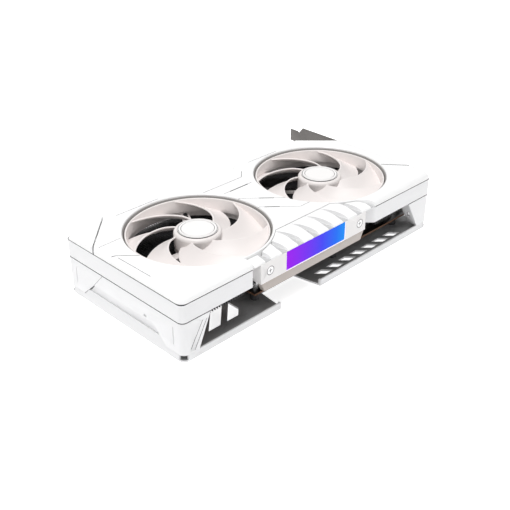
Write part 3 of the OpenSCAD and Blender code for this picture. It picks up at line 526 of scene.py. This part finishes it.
# a place on the cover: t runs from the lit edge to the back, column counts along the card
def ribPlace(t, column):
    valley = ribs["valley"] * min(1, 1.25 * (1.04 - t))  # pointed at the back
    rib, step = divmod(column, ribs["columns"])
    half = ribs["columns"] // 2
    if step < 2:
        phase = ribs["steep"] * step
    elif step < half:
        phase = ribs["steep"] + (1 - ribs["steep"] - valley) * (step - 1) / (half - 1)
    else:
        phase = 1 - valley * (ribs["columns"] - step) / half
    fade = max(0, 1 - (1 - phase) / valley)
    bite = fade * fade * (3 - 2 * fade) if step else 1
    nose = panelZ + ribs["nose"]
    base = nose + (topZ - ribs["tuck"] - nose) * math.sin(t * math.pi / 2) ** 0.8
    crown = ribs["crown"] * math.sin(math.pi * min(1, phase / (1 - valley))) * (1 - t)
    swell = math.sin(math.pi * min(1, 0.2 + 0.8 * t)) ** 0.7
    deep = min(ribs["deep"] * swell, base - panelZ - ribs["least"] - 0.1)
    x = ribs["first"] + ribs["lean"] * (1 - t * t) + ribs["pitch"] * (rib + phase)
    y = ribs["front"] + (ribs["back"] - ribs["front"]) * t
    return card(x, y, max(panelZ + ribs["least"], base - deep * bite + crown - ribs["crown"] * (1 - t)))


def ribbedCover():
    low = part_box("ribbed_cover")[0]
    bm = bmesh.new()
    columns = ribs["columns"] * ribs["count"]
    grid = bmesh.ops.create_grid(bm, x_segments=columns, y_segments=ribs["rows"], size=0.5)["verts"]
    tagged = {v: round((v.co.x + 0.5) * columns) for v in grid}
    # the back half of each rib, down in its valley, takes painted shade
    for f in bm.faces:
        f.material_index = int(min(tagged[v] for v in f.verts) % ribs["columns"] >= ribs["columns"] // 2)
    for v, column in tagged.items():
        v.co = ribPlace(v.co.y + 0.5, column - 2 * ribs["columns"])
    grown = bmesh.ops.extrude_face_region(bm, geom=list(bm.faces))["geom"]
    for v in grown:
        if isinstance(v, bmesh.types.BMVert):
            v.co.z = low[2] + 0.02 * mm  # just inside the cover's own underside
    for f in bm.faces:
        if f.calc_center_median().z < low[2] + 0.1 * mm:
            f.material_index = 0
    made = finishMesh("ribbed_light_cover", bm, ["panel", "valley"], smooth=45)
    cutters = fanClearance(ribs["clear"])
    bm = bmesh.new()
    start = (low[0] - cardX) / mm
    for points in (ribs["end"], [(0, -1), (start, -1), (start, 21), (0, 21)]):
        prism(bm, points, panelZ - past, topZ + past)
    cutters.append(cutterFrom(bm))
    carve(made, cutters)
    shade(made, 45)
    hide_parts("ribbed_cover")


ribbedCover()
print("ribbed cover made")


# faces at the seams under the panel and under the band take painted shadow
def inSeamShade(f):
    height = f.calc_center_median().z / mm
    return min(abs(height - panelZ), abs(height - bandZ)) < seamHalf


# the faces picked here take painted shade
def plateShadeFaces(f):  # the side of the backplate that faces the board
    place = f.calc_center_median()
    return place.z < 2 * mm and f.normal.z > 0.9


def besideWindow(f):  # the small faces of the light housing next to its window
    low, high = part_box("light_diffuser")
    reach, largest = 4.5 * mm, 2e-4
    return f.calc_area() < largest and low[0] - reach < f.calc_center_median().x < high[0] + reach


def onRim(f):  # the sawn edge of a board
    return abs(f.normal.z) < 0.5


# a copy of a CAD node with clean faces and eased edges; where picks the faces that take the second finish, which at the
# seams and inside the backplate is painted shade
def eased(node, material, width, second=None, where=None):
    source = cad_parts[node]
    bm = bmesh.new()
    bm.from_mesh(source.data)
    bmesh.ops.transform(bm, matrix=source.matrix_world, verts=bm.verts)
    bmesh.ops.remove_doubles(bm, verts=bm.verts, dist=1e-6)
    bmesh.ops.dissolve_limit(bm, angle_limit=math.radians(1.0), verts=bm.verts, edges=bm.edges)
    sharp = [e for e in bm.edges if len(e.link_faces) == 2 and e.calc_face_angle(0) > math.radians(35)]
    ease = {"offset": width * mm, "segments": 2, "profile": 0.5, "affect": "EDGES", "clamp_overlap": True}
    bmesh.ops.bevel(bm, geom=sharp, material=-1, **ease)
    if where == inSeamShade:
        for height in (panelZ - seamHalf, bandZ + seamHalf, bandZ - seamHalf):
            splitAt(bm, height)
    for f in bm.faces:
        if where and where(f):
            f.material_index = 1
    made = finishMesh(node + "_eased", bm, [material, second] if second else material, smooth=35)
    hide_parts(node)
    return made


# how far the edges are eased: a moulded part is rounder than a folded or sawn one
easing = {"band": 0.15, "cap": 0.4, "housing": 0.25, "trim": 0.4, "plate": 0.15, "bracket": 0.12, "board": 0.08}
# tail cover: two slanted slits beside its corner, grey with painted shade
tailSlits = {"lines": [((19.5, 0, 24.3), (9.2, 0, 6)), ((16.2, 0, 24.6), (6.1, 0, 8.0))], "width": 0.4, "depth": 0.4}
# light housing: a shallow ring cut round each screw head, grey with painted shade, as radii, depth and the screw's
# place from the end
screwRing = {"inner": 2.95, "outer": 3.3, "deep": 0.3, "fromEnd": 2.6}

for name in ("side_band", "rear_corner_leg", "bracket_end_leg"):
    eased(name, "band", easing["band"], "seam", inSeamShade)
tailCover = eased("tail_cover", "band", easing["band"], "seam", inSeamShade)
bm = bmesh.new()
for start, end in tailSlits["lines"]:
    slit(bm, start, end, tailSlits["width"], tailSlits["depth"], (0, -1, 0))
carve(tailCover, [cutterFrom(bm, "thinSeam")])
shade(tailCover, 35)
eased("tail_corner_cap", "panel", easing["cap"], "seam", inSeamShade)
housing = eased("light_housing", "endPlate", easing["housing"], "glowStrip", besideWindow)
bm = bmesh.new()
low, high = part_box("light_screws")
for x in (low[0] + screwRing["fromEnd"] * mm, high[0] - screwRing["fromEnd"] * mm):
    inner, outer, deep = (screwRing[key] * mm for key in ("inner", "outer", "deep"))
    middle = Vector((x, cardY, (low[2] + high[2]) / 2))
    ring = [(inner, -deep), (outer, -deep), (outer, deep), (inner, deep)]
    verts = [bm.verts.new(middle + Vector((r, y, 0))) for r, y in ring]
    edges = [bm.edges.new((verts[i], verts[(i + 1) % 4])) for i in range(4)]
    bmesh.ops.spin(bm, geom=verts + edges, cent=middle, axis=(0, 1, 0), angle=math.tau, steps=48, use_merge=True)
carve(housing, [cutterFrom(bm, "thinSeam")])
shade(housing, 35)
eased("lower_trim", "trim", easing["trim"])
eased("backplate", "plate", easing["plate"], "plateInsideShade", plateShadeFaces)
eased("io_bracket", "bracket", easing["bracket"])
eased("circuit_board", "board", easing["board"], "boardEdge", onRim)
print("covers eased")

# thin fins at a close pitch
fin = {
    "pitch": 2,
    "thick": 0.3,
    "margin": 0.2,
    "front": 2.8,  # where a fin starts, behind the lit edge
    "litFront": 10.9,  # and where it starts behind the light bar
    "lit": (55, 185.5),
    "endFront": 10.2,  # and near the bracket
    "endFrom": 217,
    "step": 14.2,  # behind this a fin reaches down to the board
    "hang": 4.2,  # before it, only this far below the band
    "plate": (89, 116),  # where the cold plate lies under the fins
    "plateTop": 20.5,
    "slant": 338,  # x plus y along the cut corner
}


def finStack():
    low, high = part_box("fin_stack")
    x0, x1 = (low[0] - cardX) / mm, (high[0] - cardX) / mm
    y1, z0, z1 = (high[1] - cardY) / mm, low[2] / mm, high[2] / mm
    bm = bmesh.new()
    count = int((x1 - x0) / fin["pitch"])
    for n in range(count + 1):
        x = x0 + fin["margin"] + (x1 - x0 - 2 * fin["margin"]) * n / count
        front = fin["endFront"] if x > fin["endFrom"] else fin["front"]
        if fin["lit"][0] < x < fin["lit"][1]:
            front = fin["litFront"]
        foot = fin["plateTop"] if fin["plate"][0] < x < fin["plate"][1] else z0
        back = min(y1, fin["slant"] - x)
        for ya, yb, za in ((front, fin["step"], bandZ - fin["hang"]), (fin["step"], back, foot)):
            size = Matrix.Diagonal((fin["thick"] * mm, (yb - ya) * mm, (z1 - za) * mm, 1))
            bmesh.ops.create_cube(bm, size=1, matrix=Matrix.Translation(card(x, (ya + yb) / 2, (za + z1) / 2)) @ size)
    made = finishMesh("close_fins", bm, "fins", smooth=20)
    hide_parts("fin_stack")


finStack()
print("fins made")

# the finish of each part that keeps its own mesh
paints = {
    "fan": ["tail_fan_frame", "bracket_fan_frame"],
    "copper": ["heat_pipes", "cold_plate"],
    "greenBoard": ["chip_carrier", "light_board", "tail_fan_board", "bracket_fan_board"],
    "chip": ["memory_chips", "power_stages", "tail_fan_magnet", "bracket_fan_magnet"],
    "die": ["chip_die"],
    "ferrite": ["power_chokes", "backplate_spacers"],
    "can": ["capacitors", "regulator_plate"],
    "gold": ["edge_contacts", "power_pins"],
    "nylon": ["power_socket", "socket_tongues"],
    "paleNylon": ["fan_headers", "light_leds"],
    "bracket": ["retention_plate"],
    "steel": ["light_screws", "bracket_screws", "backplate_screws", "retention_screws", "cooler_standoffs"],
    "rubber": ["fan_leads"],
    "pad": ["thermal_pads", "thermal_paste"],
    "bronze": ["tail_fan_bearing", "bracket_fan_bearing"],
    "winding": ["tail_fan_stator", "bracket_fan_stator"],
}
paints["steel"] += ["display_sockets", "wide_socket", "tail_fan_shaft", "bracket_fan_shaft"]


def paint(node, material):
    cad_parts[node].data.materials.clear()
    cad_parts[node].data.materials.append(material)


for name, nodes in paints.items():
    for node in nodes:
        paint(node, look[name])

# lit window: dark acrylic whose own light runs along its length from violet to blue
window = {
    "colour": "#05050A",
    "glow": 0.92,
    "rough": 0.5,
    "gleam": 0.03,  # low, so that the colours stay clear
    "stops": [(0.0, "#A51CF8"), (0.35, "#7A35FC"), (0.6, "#4A4CFF"), (0.85, "#2676FF"), (1.0, "#1E98FF")],
}


def diffuser():
    low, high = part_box("light_diffuser")
    glow = bpy.data.materials.new("lit acrylic diffuser")
    glow.use_nodes = True
    tree = glow.node_tree
    shader = tree.nodes["Principled BSDF"]
    place = addNode(tree, "ShaderNodeTexCoord")
    split = addNode(tree, "ShaderNodeSeparateXYZ", {}, {"Vector": place.outputs["Object"]})
    ends = {"From Min": low[0], "From Max": high[0]}
    along = addNode(tree, "ShaderNodeMapRange", ends, {"Value": split.outputs["X"]})
    ramp = addNode(tree, "ShaderNodeValToRGB", {}, {"Fac": along.outputs["Result"]})
    while len(ramp.color_ramp.elements) < len(window["stops"]):
        ramp.color_ramp.elements.new(0.5)
    for element, (where, colour) in zip(ramp.color_ramp.elements, window["stops"]):
        element.position = where
        element.color = linear(colour)
    tree.links.new(ramp.outputs["Color"], shader.inputs["Emission Color"])
    shader.inputs["Base Color"].default_value = linear(window["colour"])
    shader.inputs["Emission Strength"].default_value = window["glow"]
    shader.inputs["Roughness"].default_value = window["rough"]
    shader.inputs["Specular IOR Level"].default_value = window["gleam"]
    paint("light_diffuser", glow)


diffuser()
print("finishes applied")

# pale studio: a floor that keeps the shadow, a white surround and one soft lamp
studio = {
    "floorSize": 3,  # in metres
    "floorDrop": 0.4,  # in mm, so that the feet and the floor don't share a face
    "floorColour": "#F6F6F6",
    "floorRough": 0.9,
    "floorGlow": (0.3, 0.75),  # what lights the card, and what the eye and reflections get
    "surroundGlow": (0.46, 1.0),
    "lampPlace": (-0.24, -0.12, 1.2),
    "lampSize": 0.7,
    "lampPower": 10.5,
}
# camera: its place from the tail and the lit edge, degrees below level, degrees round from north, lens and sensor
viewpoint = {"place": (-251.83, -312.31, 308.08), "down": 30.17, "round": -45, "lens": 58.65, "sensor": 36}


def seenByEye(tree, levels):  # the second level for rays to the eye, off a mirror or through glass, else the first
    rays = addNode(tree, "ShaderNodeLightPath")
    mirrored = addNode(tree, "ShaderNodeMath", {"operation": "MAXIMUM"})
    through = addNode(tree, "ShaderNodeMath", {"operation": "MAXIMUM"})
    tree.links.new(rays.outputs["Is Camera Ray"], mirrored.inputs[0])
    tree.links.new(rays.outputs["Is Glossy Ray"], mirrored.inputs[1])
    tree.links.new(mirrored.outputs["Value"], through.inputs[0])
    tree.links.new(rays.outputs["Is Transmission Ray"], through.inputs[1])
    limits = {"To Min": levels[0], "To Max": levels[1]}
    return addNode(tree, "ShaderNodeMapRange", limits, {"Value": through.outputs["Value"]}).outputs["Result"]


bm = bmesh.new()
bmesh.ops.create_grid(bm, x_segments=1, y_segments=1, size=studio["floorSize"])
bmesh.ops.translate(bm, verts=bm.verts, vec=(0, 0, -studio["floorDrop"] * mm))
floorLook = bpy.data.materials.new("white paper")  # dull and even, it takes the card's soft shadow
floorLook.use_nodes = True
floorTree = floorLook.node_tree
floorShader = floorTree.nodes["Principled BSDF"]
floorShader.inputs["Base Color"].default_value = linear(studio["floorColour"])
floorShader.inputs["Roughness"].default_value = studio["floorRough"]
floorShader.inputs["Emission Color"].default_value = (1, 1, 1, 1)
floorTree.links.new(seenByEye(floorTree, studio["floorGlow"]), floorShader.inputs["Emission Strength"])
look["floor"] = floorLook
floor = finishMesh("floor", bm, "floor", body=None)

world = bpy.context.scene.world or bpy.data.worlds.new("surround")
bpy.context.scene.world = world
world.use_nodes = True
surround = world.node_tree.nodes["Background"]
surround.inputs["Color"].default_value = (1, 1, 1, 1)
world.node_tree.links.new(seenByEye(world.node_tree, studio["surroundGlow"]), surround.inputs["Strength"])

lampData = bpy.data.lights.new("key", "AREA")
lampData.shape = "SQUARE"
lampData.size = studio["lampSize"]
lampData.energy = studio["lampPower"]
lamp = bpy.data.objects.new("key", lampData)
bpy.context.collection.objects.link(lamp)
lamp.location = studio["lampPlace"]
lamp.rotation_euler = (-lamp.location).to_track_quat("-Z", "Y").to_euler()

camera = bpy.data.objects.new("camera", bpy.data.cameras.new("camera"))
bpy.context.collection.objects.link(camera)
camera.location = card(*viewpoint["place"])
camera.rotation_euler = (math.radians(90 - viewpoint["down"]), 0, math.radians(viewpoint["round"]))
camera.data.lens = viewpoint["lens"]
camera.data.sensor_width = viewpoint["sensor"]
bpy.context.scene.camera = camera
bpy.context.scene.view_settings.view_transform = "Standard"

print("scene ready")
